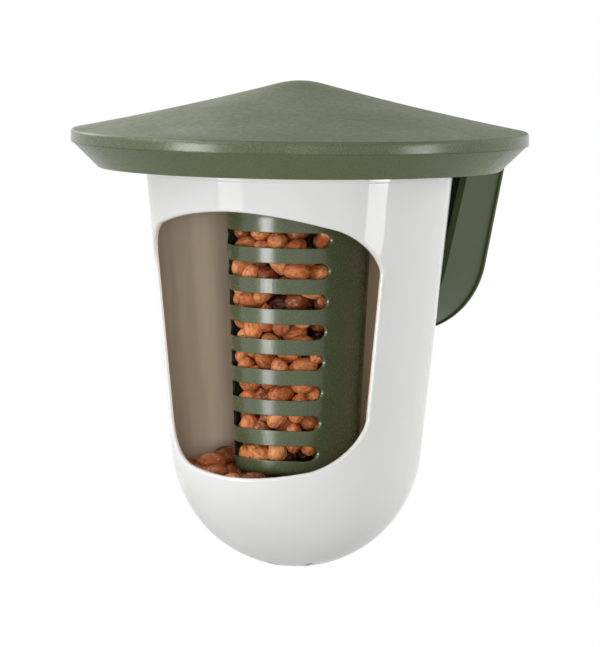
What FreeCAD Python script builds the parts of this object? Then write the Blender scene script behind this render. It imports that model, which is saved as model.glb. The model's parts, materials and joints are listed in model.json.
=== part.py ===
"""Silo bird feeder for a wall: a tapered housing with a window, a slotted silo of peanuts, a lift-off
roof and a scoop-shaped wall bracket.

Frame: +Z up, the wall is the plane Y = 0 and the feeder's front looks along -Y. The origin is midway
between the two wall screws. Heights in the sizes below run from the skirt's lower edge, depths downwards.
"""
import FreeCAD, Part
import math
import os
import re

import Sketcher

V = FreeCAD.Vector
UP = V(0, 0, 1)

SIZES = [
    ("axis_standoff", 115.0, "feeder axis to wall"),
    ("skirt_level", 40.0, "skirt's lower edge above the wall screws"),
    ("fit_gap", 0.3, "running gap between curved faces of different bodies"),
    ("rim_radius", 112.5, "roof rim"),
    ("skirt_foot_radius", 99.2, "lower edge of the tapered skirt"),
    ("skirt_height", 12.3, "tapered skirt"),
    ("band_height", 6.0, "upright band of the roof rim"),
    ("band_round", 1.2, "rounding along the top of the band"),
    ("roof_rim_slope", 0.193, "rise of the hollow roof for each mm of radius, at its rim"),
    ("roof_tip_slope", 0.266, "the same near its tip"),
    ("tip_radius", 11.0, "the roof's tip is rounded this far from the axis"),
    ("roof_wall", 2.6, "roof cap wall"),
    ("seam_step", 0.6, "how far the band overhangs the skirt at their seam"),
    ("collar_wall", 2.4, "collar web and skirt wall"),
    ("collar_bore_radius", 66.0, "hole in the collar's web"),
    ("collar_lip_height", 2.6, "lip of the collar inside the band"),
    ("collar_ring_depth", 5.8, "locating ring below the web"),
    ("roof_screw_count", 3, "roof screws"),
    ("boss_radius", 4.2, "screw bosses under the roof"),
    ("housing_radius", 75.7, "housing outside, level with the skirt's edge"),
    ("housing_lip", 4.0, "housing rim above the skirt's edge"),
    ("rim_bead", 0.5, "how far the bead along the housing's rim stands out"),
    ("rim_bead_foot", 3.4, "lower edge of that bead, below the skirt's edge"),
    ("housing_depth", 197.1, "bottom of the bowl below the skirt's edge"),
    ("bowl_radius", 61.6, "round bowl outside"),
    ("housing_wall", 1.8, "white shell wall"),
    ("liner_wall", 0.4, "thin inner lining"),
    ("window_top", 17.9, "crown of the window, below the skirt's edge"),
    ("window_bottom", 147.7, "sill of the window, below the skirt's edge"),
    ("window_arch", 147.0, "radius of the window's crown and sill"),
    ("window_shoulder", 62.6, "half width of the window near its crown"),
    ("window_waist", 55.2, "half width of the window near its sill"),
    ("window_top_corner", 20.5, "corner radius near the crown"),
    ("window_bottom_corner", 28.0, "corner radius near the sill"),
    ("window_round", 1.3, "rounding along the window's outer edge"),
    ("drain_count", 6, "drain slots in the bowl"),
    ("drain_inner", 9.0, "inner end of a drain slot from the axis"),
    ("drain_outer", 21.5, "outer end of a drain slot from the axis"),
    ("drain_width", 3.0, "width of a drain slot"),
    ("drain_turn_angle", 79.0, "turn of the first drain slot from +X, in degrees"),
    ("tube_radius", 36.3, "silo tube outside at its flange"),
    ("tube_foot_radius", 30.2, "silo tube outside at its foot"),
    ("tube_top", 14.0, "underside of the tube's flange, below the skirt's edge"),
    ("tube_foot", 149.5, "closed foot of the tube, below the skirt's edge"),
    ("tube_wall", 1.2, "silo tube wall"),
    ("tube_foot_round", 3.2, "rounding of the tube's foot"),
    ("tube_flange_width", 3.6, "flange that hangs the tube in the funnel"),
    ("slot_count", 8, "feeding slots"),
    ("slot_first", 29.9, "upper edge of the first slot, below the skirt's edge"),
    ("slot_margin", 7.5, "last slot above the tube's foot"),
    ("slot_height", 7.5, "height of a slot"),
    ("slot_reach", 20.4, "slots end this far in front of the axis"),
    ("funnel_wall", 2.2, "funnel wall and flange"),
    ("funnel_mouth_radius", 65.0, "funnel mouth"),
    ("funnel_overhang", 2.0, "flange of the funnel beyond the housing rim"),
    ("bracket_half_width", 56.9, "bracket outside at its top"),
    ("bracket_taper", 0.2, "narrowing of the bracket's side for each mm of depth"),
    ("bracket_top", 3.0, "top of the bracket below the skirt's edge"),
    ("bracket_bottom", 87.9, "bottom of the bracket below the skirt's edge"),
    ("bracket_corner", 43.8, "lower corner radius of the bracket"),
    ("bracket_wall", 3.6, "bracket wall"),
    ("bracket_plate", 3.0, "bracket back plate"),
    ("bracket_gap", 0.8, "front edge of the bracket to the housing, at the bracket's bottom"),
    ("bracket_lean", 0.075, "how far the bracket's front edge leans out for each mm downwards"),
    ("bracket_lip", 0.9, "lip of the bracket along the wall"),
    ("bracket_lip_thick", 2.2, "thickness of that lip"),
    ("mount_spacing", 60.0, "distance between the wall screws"),
    ("mount_hole_radius", 2.5, "holes for the wall screws"),
    ("rail_top", 24.0, "top of the hanger rail below the skirt's edge"),
    ("rail_length", 36.0, "hanger rail"),
    ("rail_web", 8.0, "web of the rail"),
    ("rail_head_width", 22.0, "head of the rail"),
    ("rail_head_thick", 4.5, "thickness of the rail's head"),
    ("rail_gap", 0.4, "clearance between rail and socket"),
    ("saddle_thick", 3.0, "saddle of the socket on the housing"),
    ("saddle_half_angle", 23.0, "half angle of the saddle, in degrees"),
    ("socket_top", 11.0, "top of the socket below the skirt's edge"),
    ("socket_wall", 5.0, "cheeks and lips of the socket"),
    ("socket_screw_angle", 18.0, "socket screws to each side of the back, in degrees"),
    ("socket_screw_inset", 6.0, "socket screws from the saddle's upper and lower edge"),
    ("screw_radius", 1.5, "screw shanks"),
    ("screw_length", 9.0, "roof screw shanks above the web's underside"),
    ("screw_head_radius", 3.2, "screw heads"),
    ("screw_head_height", 2.0, "height of a screw head"),
    ("screw_gap", 0.1, "clearance round a screw shank"),
    ("nut_length", 14.2, "peanut kernel"),
    ("nut_girth", 9.2, "thickness of a kernel"),
    ("nut_gap", 0.3, "gap between kernels"),
    ("nut_setback", 0.8, "kernels in the silo stand back this far from the tube's wall"),
    ("nut_spread_angle", 74.0, "half angle of the kernels shown behind the slots, in degrees"),
    ("column_top", 6.0, "top of the peanuts in the funnel, below the skirt's edge"),
    ("bed_depth", 155.0, "level of the peanuts in the bowl, below the skirt's edge"),
    ("heap_from_angle", 95.0, "start of the heap in the bowl, in degrees from +X"),
    ("heap_to_angle", 265.0, "end of the heap in the bowl, in degrees from +X"),
]

doc = FreeCAD.newDocument("silo_bird_feeder")
sheet = doc.addObject("Spreadsheet::Sheet", "Sizes")
for row, (alias, value, meaning) in enumerate(SIZES, start=1):
    sheet.set(f"A{row}", meaning)
    sheet.set(f"B{row}", str(value))
    sheet.setAlias(f"B{row}", alias)
doc.recompute()


def sheet_formula(formula):
    """The formula with each size name pointed at its cell; every size name has an underscore."""
    return re.sub(r"[a-z]+(?:_[a-z]+)+", r"Sizes.\g<0>", formula)


def size(formula):
    """Present value of a size or a formula of sizes."""
    result = sheet.evalExpression(sheet_formula(str(formula)))
    return float(getattr(result, "Value", result))


def bind(item, prop, formula):
    """Tie one property of an object to the sheet."""
    item.setExpression(prop, sheet_formula(str(formula)))


# Formulas that several pieces share
BAND_TOP = "(skirt_height + band_height)"
SEAT = "(housing_lip + funnel_wall)"
BOWL_CENTRE = "(housing_depth - bowl_radius)"
LEAN = (f"(acos(bowl_radius / sqrt(housing_radius^2 + {BOWL_CENTRE}^2))"
        f" - atan({BOWL_CENTRE} / housing_radius))")
LINER_SKIN = "housing_wall"
INNER_SKIN = "(housing_wall + liner_wall)"
TUBE_TAPER = "((tube_radius - tube_foot_radius) / (tube_foot - tube_top))"
SLOT_PITCH = "((tube_foot - slot_margin - slot_first - slot_height) / (slot_count - 1))"
FLANGE_RADIUS = f"(housing_radius + housing_lip * tan({LEAN}) + funnel_overhang)"
RING_RADIUS = f"({FLANGE_RADIUS} + fit_gap)"
SKIRT_FLARE = "((rim_radius - seam_step - skirt_foot_radius) / skirt_height)"
SKIRT_WALL = f"(collar_wall * sqrt(1 + {SKIRT_FLARE}^2))"
SKIRT_INSIDE = f"(skirt_foot_radius + {SEAT} * {SKIRT_FLARE} - {SKIRT_WALL})"
SCREW_CIRCLE = f"(({RING_RADIUS} + collar_wall + {SKIRT_INSIDE}) / 2)"


def wall_radius(skin, height):
    """Formula: radius of the tapered wall, a given skin inside the housing's outer face."""
    return f"(housing_radius + ({height}) * tan({LEAN}) - ({skin}) / cos({LEAN}))"


def tube_outside(depth):
    """Formula: outer radius of the silo tube at a depth below the skirt's edge."""
    return f"(tube_radius - (({depth}) - tube_top) * {TUBE_TAPER})"


SADDLE_FACE = f"({wall_radius('0', '-socket_top')} + saddle_thick)"
SOCKET_FACE = f"({SADDLE_FACE} + 2 * rail_gap + rail_head_thick + socket_wall)"
SOCKET_HALF = "(rail_head_width / 2 + rail_gap + socket_wall)"
SOCKET_FOOT = "(rail_top + rail_length)"
NUT_ROW = "(nut_girth / 2 + nut_gap)"
# Kernel form: girth of its blunt ends, then (place along its length, girth) from end to end, as shares
KERNEL_END = 0.45
KERNEL_STATIONS = ((-0.5, KERNEL_END), (-0.27, 0.94), (0.02, 1.0), (0.3, 0.86), (0.5, KERNEL_END))
KERNEL_SIDES = 8


def new_body(label, at_axis=True):
    """An empty body, on the feeder's axis or on the wall, level with the skirt's edge."""
    body = doc.addObject("PartDesign::Body", label)
    body.Label = label
    if at_axis:
        bind(body, "Placement.Base.y", "-axis_standoff")
    bind(body, "Placement.Base.z", "skirt_level")
    return body


def origin_item(body, role):
    return next(item for item in body.Origin.OriginFeatures if item.Role == role)


def new_sketch(body, name, role, offset=None, turn=None):
    """A sketch on one of the body's own planes, moved along and turned about the plane's normal."""
    sketch = body.newObject("Sketcher::SketchObject", name)
    sketch.AttachmentSupport = [(origin_item(body, role), "")]
    sketch.MapMode = "FlatFace"
    if offset is not None:
        bind(sketch, "AttachmentOffset.Base.z", offset)
    if turn is not None:
        bind(sketch, "AttachmentOffset.Rotation.Angle", turn)
    return sketch


def arc_between(start, finish, centre_x, turn):
    """The arc from start to finish that turns left (turn 1) or right (turn -1), its centre at a given x."""
    reach = (finish.x - centre_x) ** 2 - (start.x - centre_x) ** 2 + finish.y ** 2 - start.y ** 2
    centre = V(centre_x, reach / (finish.y - start.y) / 2, 0)
    first, last = (start, finish) if turn > 0 else (finish, start)
    angles = [math.atan2(point.y - centre.y, point.x - centre.x) for point in (first, last)]
    circle = Part.Circle(centre, UP, (start - centre).Length)
    return Part.ArcOfCircle(circle, angles[0], angles[1])


def hold_point(sketch, item, point, formulas):
    """Fix a point of a sketch at x and y formulas; None leaves that direction free."""
    for kind, axis, formula in zip(("DistanceX", "DistanceY"), (-2, -1), formulas):
        if formula == "0":
            sketch.addConstraint(Sketcher.Constraint("PointOnObject", item, point, axis))
        elif formula is not None:
            rule = sketch.addConstraint(Sketcher.Constraint(kind, -1, 1, item, point, size(formula)))
            bind(sketch, f"Constraints[{rule}]", formula)


def draw(sketch, corners, arcs=None):
    """Close an outline through corners given as pairs of formulas.

    arcs names, by the index of the corner where it starts, each side that is an arc:
    (formula for the x of its centre, turn).
    """
    arcs = arcs or {}
    points = [V(size(x), size(y), 0) for x, y in corners]
    ends = []
    for index, start in enumerate(points):
        finish = points[(index + 1) % len(points)]
        if index in arcs:
            centre_x, turn = arcs[index]
            side = sketch.addGeometry(arc_between(start, finish, size(centre_x), turn))
            hold_point(sketch, side, 3, (centre_x, None))
            ends.append((side, 1, 2) if turn > 0 else (side, 2, 1))
        else:
            ends.append((sketch.addGeometry(Part.LineSegment(start, finish)), 1, 2))
    for index, (side, first, last) in enumerate(ends):
        after, after_first, _ = ends[(index + 1) % len(ends)]
        sketch.addConstraint(Sketcher.Constraint("Coincident", side, last, after, after_first))
        hold_point(sketch, side, first, corners[index])


def draw_circle(sketch, x, y, radius):
    """A circle at a place given by formulas."""
    circle = sketch.addGeometry(Part.Circle(V(size(x), size(y), 0), UP, size(radius)))
    hold_point(sketch, circle, 3, (x, y))
    rule = sketch.addConstraint(Sketcher.Constraint("Radius", circle, size(radius)))
    bind(sketch, f"Constraints[{rule}]", radius)


def revolve(body, name, corners, arcs=None, role="XZ_Plane", angle=None):
    """A revolution of an outline about the body's axis; a part turn is centred on the outline."""
    sketch = new_sketch(body, name + "_profile", role)
    draw(sketch, corners, arcs)
    turned = body.newObject("PartDesign::Revolution", name)
    turned.Profile = sketch
    turned.ReferenceAxis = (sketch, ["V_Axis"])
    if angle is None:
        turned.Angle = 360
    else:
        turned.Midplane = True
        bind(turned, "Angle", angle)
    return turned


def polar(body, feature, name, count):
    """Repeat a feature evenly round the body's axis."""
    pattern = body.newObject("PartDesign::PolarPattern", name)
    pattern.Originals = [feature]
    pattern.Axis = (origin_item(body, "Z_Axis"), [""])
    pattern.Angle = 360
    bind(pattern, "Occurrences", count)
    body.Tip = pattern
    return pattern


def pocket_through(body, name, sketch, both_ways=False):
    """Cut a sketch's outline right through the body."""
    cut = body.newObject("PartDesign::Pocket", name)
    cut.Profile = sketch
    cut.Type = "ThroughAll"
    cut.Midplane = both_ways
    return cut


def pad(body, name, sketch, length, reverse=False):
    block = body.newObject("PartDesign::Pad", name)
    block.Profile = sketch
    block.Reversed = reverse
    bind(block, "Length", length)
    return block


def cut_away(label, base, tools):
    """The base with the tools taken out, as one labelled piece."""
    joined = doc.addObject("Part::MultiFuse", label + "_cutters")
    joined.Shapes = tools
    piece = doc.addObject("Part::Cut", label)
    piece.Label = label
    piece.Base = base
    piece.Tool = joined
    return piece


def make_roof_cap():
    """Shallow, slightly hollow cone with a rounded tip, an upright band and screw bosses underneath."""
    body = new_body("roof_cap")
    rim_lean, tip_lean = "atan(roof_rim_slope)", "atan(roof_tip_slope)"
    edge = "(rim_radius - band_round)"
    hollow = f"(({edge} - tip_radius) / (sin({tip_lean}) - sin({rim_lean})))"
    middle = f"(tip_radius + {hollow} * sin({tip_lean}))"
    edge_top = f"({BAND_TOP} + band_round * roof_rim_slope)"
    shoulder = f"({edge_top} + {hollow} * (cos({rim_lean}) - cos({tip_lean})))"
    tip = f"{shoulder} + tip_radius * (sqrt(1 + roof_tip_slope^2) - 1) / roof_tip_slope"
    under = f"{shoulder} - roof_wall"
    revolve(body, "roof_shell", [
        ("0", under),
        ("tip_radius", under),
        ("rim_radius - roof_wall", f"{BAND_TOP} + roof_wall * roof_rim_slope - roof_wall"),
        ("rim_radius - roof_wall", "skirt_height"),
        ("rim_radius", "skirt_height"),
        ("rim_radius", f"{BAND_TOP} - band_round"),
        (edge, edge_top),
        ("tip_radius", shoulder),
        ("0", tip),
    ], {
        1: (middle, 1),
        5: ("rim_radius - band_round * (1 + (1 + roof_rim_slope)^2) / 2", 1),
        6: (middle, -1),
        7: ("0", 1),
    })
    web_top = f"({SEAT} + collar_wall)"
    boss_top = f"({BAND_TOP} + (rim_radius - {SCREW_CIRCLE} - boss_radius) * roof_rim_slope - roof_wall / 6)"
    sketch = new_sketch(body, "boss_outline", "XY_Plane", web_top)
    draw_circle(sketch, SCREW_CIRCLE, "0", "boss_radius")
    boss = pad(body, "boss", sketch, f"{boss_top} - {web_top}")
    polar(body, boss, "bosses", "roof_screw_count")
    sketch = new_sketch(body, "pilot_outline", "XY_Plane", web_top)
    draw_circle(sketch, SCREW_CIRCLE, "0", "screw_radius + screw_gap")
    pilot = body.newObject("PartDesign::Pocket", "pilot")
    pilot.Profile = sketch
    pilot.Reversed = True
    bind(pilot, "Length", "screw_length - collar_wall + screw_gap")
    polar(body, pilot, "pilots", "roof_screw_count")
    return body


def make_roof_collar():
    """Tapered skirt with a web that seats on the funnel and a ring that locates it."""
    body = new_body("roof_collar")
    web_top = f"({SEAT} + collar_wall)"
    lip_radius = "(rim_radius - roof_wall - fit_gap)"
    revolve(body, "collar", [
        ("collar_bore_radius", SEAT),
        (RING_RADIUS, SEAT),
        (RING_RADIUS, f"{SEAT} - collar_ring_depth"),
        (f"{RING_RADIUS} + collar_wall", f"{SEAT} - collar_ring_depth"),
        (f"{RING_RADIUS} + collar_wall", SEAT),
        (SKIRT_INSIDE, SEAT),
        (f"skirt_foot_radius - {SKIRT_WALL}", "0"),
        ("skirt_foot_radius", "0"),
        ("rim_radius - seam_step", "skirt_height"),
        (lip_radius, "skirt_height"),
        (lip_radius, "skirt_height + collar_lip_height"),
        (f"{lip_radius} - collar_wall", "skirt_height + collar_lip_height"),
        (f"{SKIRT_INSIDE} + collar_wall * {SKIRT_FLARE}", web_top),
        ("collar_bore_radius", web_top),
    ])
    sketch = new_sketch(body, "screw_hole_outline", "XY_Plane", SEAT)
    draw_circle(sketch, SCREW_CIRCLE, "0", "screw_radius + screw_gap")
    hole = pocket_through(body, "screw_hole", sketch, both_ways=True)
    polar(body, hole, "screw_holes", "roof_screw_count")
    return body


def screw_shape(shank):
    """A pan-head screw: head from 0 downwards, shank from 0 upwards."""
    head_height = size("screw_head_height")
    head = Part.makeCylinder(size("screw_head_radius"), head_height, V(0, 0, -head_height))
    return head.fuse(Part.makeCylinder(size("screw_radius"), shank)).removeSplitter()


def make_roof_screws():
    """Screws driven up through the collar's web into the cap."""
    count = int(size("roof_screw_count"))
    screws = []
    for index in range(count):
        screw = screw_shape(size("screw_length"))
        screw.translate(V(size(SCREW_CIRCLE), 0, size(SEAT)))
        screw.rotate(V(), UP, 360 * index / count)
        screws.append(screw)
    return placed_feature("roof_screws", Part.makeCompound(screws))


def placed_feature(label, shape):
    """A piece modelled about the feeder's axis, moved to its place."""
    piece = doc.addObject("Part::Feature", label)
    piece.Label = label
    piece.Shape = shape
    bind(piece, "Placement.Base.y", "-axis_standoff")
    bind(piece, "Placement.Base.z", "skirt_level")
    return piece


def make_cup(label, outer_skin, inner_skin, top, bead=()):
    """One tapered cup with a round bowl, between two skins of the housing, with its drain slots.

    bead holds the corners of the outer face above the tapered wall; without it the wall runs to the top.
    """
    body = new_body(label)

    def tangent(skin):
        ball = f"(bowl_radius - {skin})"
        return f"{ball} * cos({LEAN})", f"-{BOWL_CENTRE} - {ball} * sin({LEAN})"

    revolve(body, label + "_cup", [
        (wall_radius(inner_skin, top), top),
        tangent(inner_skin),
        ("0", f"{inner_skin} - housing_depth"),
        ("0", f"{outer_skin} - housing_depth"),
        tangent(outer_skin),
        *(bead or [(wall_radius(outer_skin, top), top)]),
    ], {1: ("0", -1), 3: ("0", 1)})
    sketch = new_sketch(body, label + "_drain_outline", "XY_Plane", turn="drain_turn_angle")
    half = "drain_width / 2"
    inner, outer = f"drain_inner + {half}", f"drain_outer - {half}"
    draw(sketch, [(inner, f"-{half}"), (outer, f"-{half}"), (outer, half), (inner, half)],
         {1: (outer, 1), 3: (inner, 1)})
    drain = pocket_through(body, label + "_drain", sketch)
    polar(body, drain, label + "_drains", "drain_count")
    return body


def housing_radius_at(height):
    """Outer radius of the housing at a height, on its tapered wall or its bowl."""
    centre, ball, lean = -size(BOWL_CENTRE), size("bowl_radius"), math.radians(size(LEAN))
    if height > centre - ball * math.sin(lean):
        return size("housing_radius") + height * math.tan(lean)
    return math.sqrt(ball ** 2 - (height - centre) ** 2)


def window_edges():
    """Front view of the window as edges in the XZ plane: crown, sill, two leaning sides, round corners."""
    arch = size("window_arch")
    crown = V(0, 0, -size("window_top") - arch)
    sill = V(0, 0, -size("window_bottom") + arch)
    top_corner, low_corner = size("window_top_corner"), size("window_bottom_corner")
    high_x = size("window_shoulder") - top_corner
    low_x = size("window_waist") - low_corner
    high = crown + V(high_x, 0, math.sqrt((arch - top_corner) ** 2 - high_x ** 2))
    low = sill + V(low_x, 0, -math.sqrt((arch - low_corner) ** 2 - low_x ** 2))
    span = low - high
    lean = math.acos((top_corner - low_corner) / span.Length) + math.atan2(span.z, span.x)
    normal = V(math.cos(lean), 0, math.sin(lean))

    def arc(centre, radius, start, finish):
        middle = (start + finish) * 0.5 - centre
        return Part.Arc(start, centre + middle * (radius / middle.Length), finish).toShape()

    def mirrored(point):
        return V(-point.x, point.y, point.z)

    crown_end = crown + (high - crown) * (arch / (arch - top_corner))
    sill_end = sill + (low - sill) * (arch / (arch - low_corner))
    side_top = high + normal * top_corner
    side_foot = low + normal * low_corner
    right = [
        arc(high, top_corner, crown_end, side_top),
        Part.makeLine(side_top, side_foot),
        arc(low, low_corner, side_foot, sill_end),
    ]
    left = [
        arc(mirrored(low), low_corner, mirrored(sill_end), mirrored(side_foot)),
        Part.makeLine(mirrored(side_foot), mirrored(side_top)),
        arc(mirrored(high), top_corner, mirrored(side_top), mirrored(crown_end)),
    ]
    sill_arc = arc(sill, arch, sill_end, mirrored(sill_end))
    crown_arc = arc(crown, arch, mirrored(crown_end), crown_end)
    return right + [sill_arc] + left + [crown_arc]


def make_window_cutter():
    """The window as a wedge whose sides point at the feeder's axis, so its jambs are square to the wall."""
    samples = 9
    wires = []
    for distance in (size("tube_radius") / 4, size(FLANGE_RADIUS)):
        curves = []
        for edge in window_edges():
            points = []
            for point in edge.discretize(samples):
                turn = math.asin(point.x / housing_radius_at(point.z))
                points.append(V(distance * math.tan(turn), -distance, point.z))
            curve = Part.BSplineCurve()
            curve.interpolate(points)
            curves.append(curve.toShape())
        wires.append(Part.Wire(curves))
    return placed_feature("window_cutter", Part.makeLoft(wires, True, True))


def round_window(label, base):
    """The shell with the outer edge of its window rounded."""
    doc.recompute()
    near = 0.05
    to_axis = V(0, size("axis_standoff"), -size("skirt_level"))
    low, high = -size("window_bottom") - near, -size("window_top") + near
    radius = size("window_round")
    chosen = []
    for index, edge in enumerate(base.Shape.Edges, start=1):
        middle = edge.valueAt((edge.FirstParameter + edge.LastParameter) / 2) + to_axis
        level = edge.BoundBox.ZLength < near
        if level or middle.y > 0 or not low < middle.z < high:
            continue
        if abs(math.hypot(middle.x, middle.y) - housing_radius_at(middle.z)) < near:
            chosen.append((index, radius, radius))
    piece = doc.addObject("Part::Fillet", label)
    piece.Label = label
    piece.Base = base
    piece.Edges = chosen
    return piece


def socket_screw_places():
    """Place of each socket screw: on the outer wall, its axis square to the tapered wall."""
    inset = size("socket_screw_inset")
    heights = (-size("socket_top") - inset, -size(SOCKET_FOOT) + inset)
    places = []
    for height in heights:
        for side in (-1, 1):
            turn = FreeCAD.Rotation(UP, 90 + side * size("socket_screw_angle"))
            tilt = FreeCAD.Rotation(V(0, 1, 0), 90 + size(LEAN))
            foot = turn.multVec(V(housing_radius_at(height), 0, height))
            places.append(FreeCAD.Placement(foot, turn.multiply(tilt)))
    return places


def make_screw_hole_cutter():
    """Holes through wall, liner and saddle for the socket screws."""
    radius = size("screw_radius + screw_gap")
    reach = size(f"{INNER_SKIN} + saddle_thick")
    holes = []
    for place in socket_screw_places():
        hole = Part.makeCylinder(radius, 2 * reach, V(0, 0, -reach))
        hole.Placement = place
        holes.append(hole)
    return placed_feature("screw_hole_cutter", Part.makeCompound(holes))


def make_hanger_socket(hole_cutter):
    """Saddle on the housing's back with a channel, closed at its top, that drops over the bracket's rail."""
    body = new_body("hanger_socket_blank")
    foot = f"-{SOCKET_FOOT}"
    revolve(body, "saddle", [
        (wall_radius("0", foot), foot),
        (f"{wall_radius('0', foot)} + saddle_thick", foot),
        (f"{wall_radius('0', '-socket_top')} + saddle_thick", "-socket_top"),
        (wall_radius("0", "-socket_top"), "-socket_top"),
    ], role="YZ_Plane", angle="2 * saddle_half_angle")
    sketch = new_sketch(body, "channel_outline", "XY_Plane", foot)
    inside = "housing_radius / 2"
    draw(sketch, [(f"-{SOCKET_HALF}", inside), (SOCKET_HALF, inside),
                  (SOCKET_HALF, SOCKET_FACE), (f"-{SOCKET_HALF}", SOCKET_FACE)])
    pad(body, "channel", sketch, f"{SOCKET_FOOT} - socket_top")
    sketch = new_sketch(body, "housing_outline", "XZ_Plane")
    low, high = "-housing_depth + bowl_radius", "housing_lip"
    draw(sketch, [("0", low), (wall_radius("0", low), low), (wall_radius("0", high), high), ("0", high)])
    hollow = body.newObject("PartDesign::Groove", "housing_hollow")
    hollow.Profile = sketch
    hollow.ReferenceAxis = (sketch, ["V_Axis"])
    hollow.Angle = 360
    sketch = new_sketch(body, "slot_outline", "XY_Plane", foot)
    head = "(rail_head_width / 2 + rail_gap)"
    neck = "(rail_web / 2 + rail_gap)"
    shelf = f"({SADDLE_FACE} + 2 * rail_gap + rail_head_thick)"
    past = f"({SOCKET_FACE} + socket_wall)"
    draw(sketch, [(f"-{head}", SADDLE_FACE), (head, SADDLE_FACE), (head, shelf), (neck, shelf),
                  (neck, past), (f"-{neck}", past), (f"-{neck}", shelf), (f"-{head}", shelf)])
    slot = body.newObject("PartDesign::Pocket", "slot")
    slot.Profile = sketch
    slot.Reversed = True
    bind(slot, "Length", "rail_length")
    return cut_away("hanger_socket", body, [hole_cutter])


def make_hanger_screws():
    """Screws driven from inside the housing into the saddle."""
    inside = size(f"{INNER_SKIN} + screw_gap")
    screws = []
    for place in socket_screw_places():
        screw = screw_shape(inside + size("saddle_thick"))
        screw.translate(V(0, 0, -inside))
        screw.Placement = place.multiply(screw.Placement)
        screws.append(screw)
    return placed_feature("hanger_screws", Part.makeCompound(screws))


def make_silo_funnel():
    """Funnel with a flange on the housing rim and a ledge that carries the tube."""
    body = new_body("silo_funnel")
    skirt = wall_radius(f"{INNER_SKIN} + fit_gap", "-funnel_wall")
    ledge_top = "-tube_top"
    well = "(tube_radius + tube_flange_width + fit_gap)"
    hole = "(tube_radius + fit_gap)"
    revolve(body, "funnel", [
        (hole, ledge_top),
        (hole, f"{ledge_top} - funnel_wall"),
        (f"{well} + funnel_wall", f"{ledge_top} - funnel_wall"),
        (f"{well} + funnel_wall", f"{ledge_top} + funnel_wall / 2"),
        (f"{skirt} - funnel_wall", "-funnel_wall"),
        (skirt, "-funnel_wall"),
        (wall_radius(f"{INNER_SKIN} + fit_gap", "housing_lip"), "housing_lip"),
        (FLANGE_RADIUS, "housing_lip"),
        (FLANGE_RADIUS, SEAT),
        ("funnel_mouth_radius", SEAT),
        (well, f"{ledge_top} + 2 * funnel_wall"),
        (well, ledge_top),
    ])
    return body


def make_silo_tube():
    """Tapered tube with a hanging flange, a closed round foot and a row of slots across its front."""
    body = new_body("silo_tube")
    foot, top = "-tube_foot", "-tube_top"
    bend = "(tube_foot - tube_foot_round)"
    bend_radius = f"{tube_outside(bend)} - tube_foot_round"
    inner_bend = "(tube_foot_round - tube_wall)"
    revolve(body, "tube", [
        ("0", foot),
        (bend_radius, foot),
        (tube_outside(bend), f"-{bend}"),
        (tube_outside("tube_top"), top),
        ("tube_radius + tube_flange_width", top),
        ("tube_radius + tube_flange_width", f"{top} + tube_wall"),
        ("tube_radius - tube_wall", f"{top} + tube_wall"),
        ("tube_radius - tube_wall", top),
        (f"{tube_outside(bend)} - tube_wall", f"-{bend}"),
        (f"{tube_outside(bend)} - tube_wall - {inner_bend}", f"-{bend} - {inner_bend}"),
        ("0", f"-{bend} - {inner_bend}"),
    ], {1: (bend_radius, 1), 8: (bend_radius, -1)})
    sketch = new_sketch(body, "slot_outline", "YZ_Plane")
    upper, lower = "-slot_first", "-slot_first - slot_height"
    bend, past = "-slot_reach - slot_height / 2", "-2 * tube_radius"
    draw(sketch, [(past, lower), (bend, lower), (bend, upper), (past, upper)],
         {1: (bend, 1)})
    slot = pocket_through(body, "first_slot", sketch, both_ways=True)
    slots = body.newObject("PartDesign::LinearPattern", "slots")
    slots.Originals = [slot]
    slots.Direction = (origin_item(body, "Z_Axis"), [""])
    slots.Reversed = True
    bind(slots, "Length", f"(slot_count - 1) * {SLOT_PITCH}")
    bind(slots, "Occurrences", "slot_count")
    body.Tip = slots
    return body


def draw_shield(sketch, grow, top):
    """Outline of the bracket seen from the front: leaning sides and two large lower corners."""
    lean = "atan(bracket_taper)"
    radius = f"(bracket_corner + {grow})"
    low = f"-bracket_bottom - {grow}"
    side = f"(bracket_half_width + ({grow}) / cos({lean}))"
    middle_height = "(bracket_corner - bracket_bottom)"
    middle = (f"(bracket_half_width - (bracket_bottom - bracket_corner - bracket_top) * bracket_taper"
              f" - bracket_corner / cos({lean}))")
    bend_x = f"({middle} + {radius} * cos({lean}))"
    bend_z = f"({middle_height} - {radius} * sin({lean}))"
    top_x = f"({side} + (({top}) + bracket_top) * bracket_taper)"
    draw(sketch, [
        (f"-{middle}", low), (middle, low), (bend_x, bend_z), (top_x, top),
        (f"-{top_x}", top), (f"-{bend_x}", bend_z),
    ], {1: (middle, 1), 5: (f"-{middle}", 1)})


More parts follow.
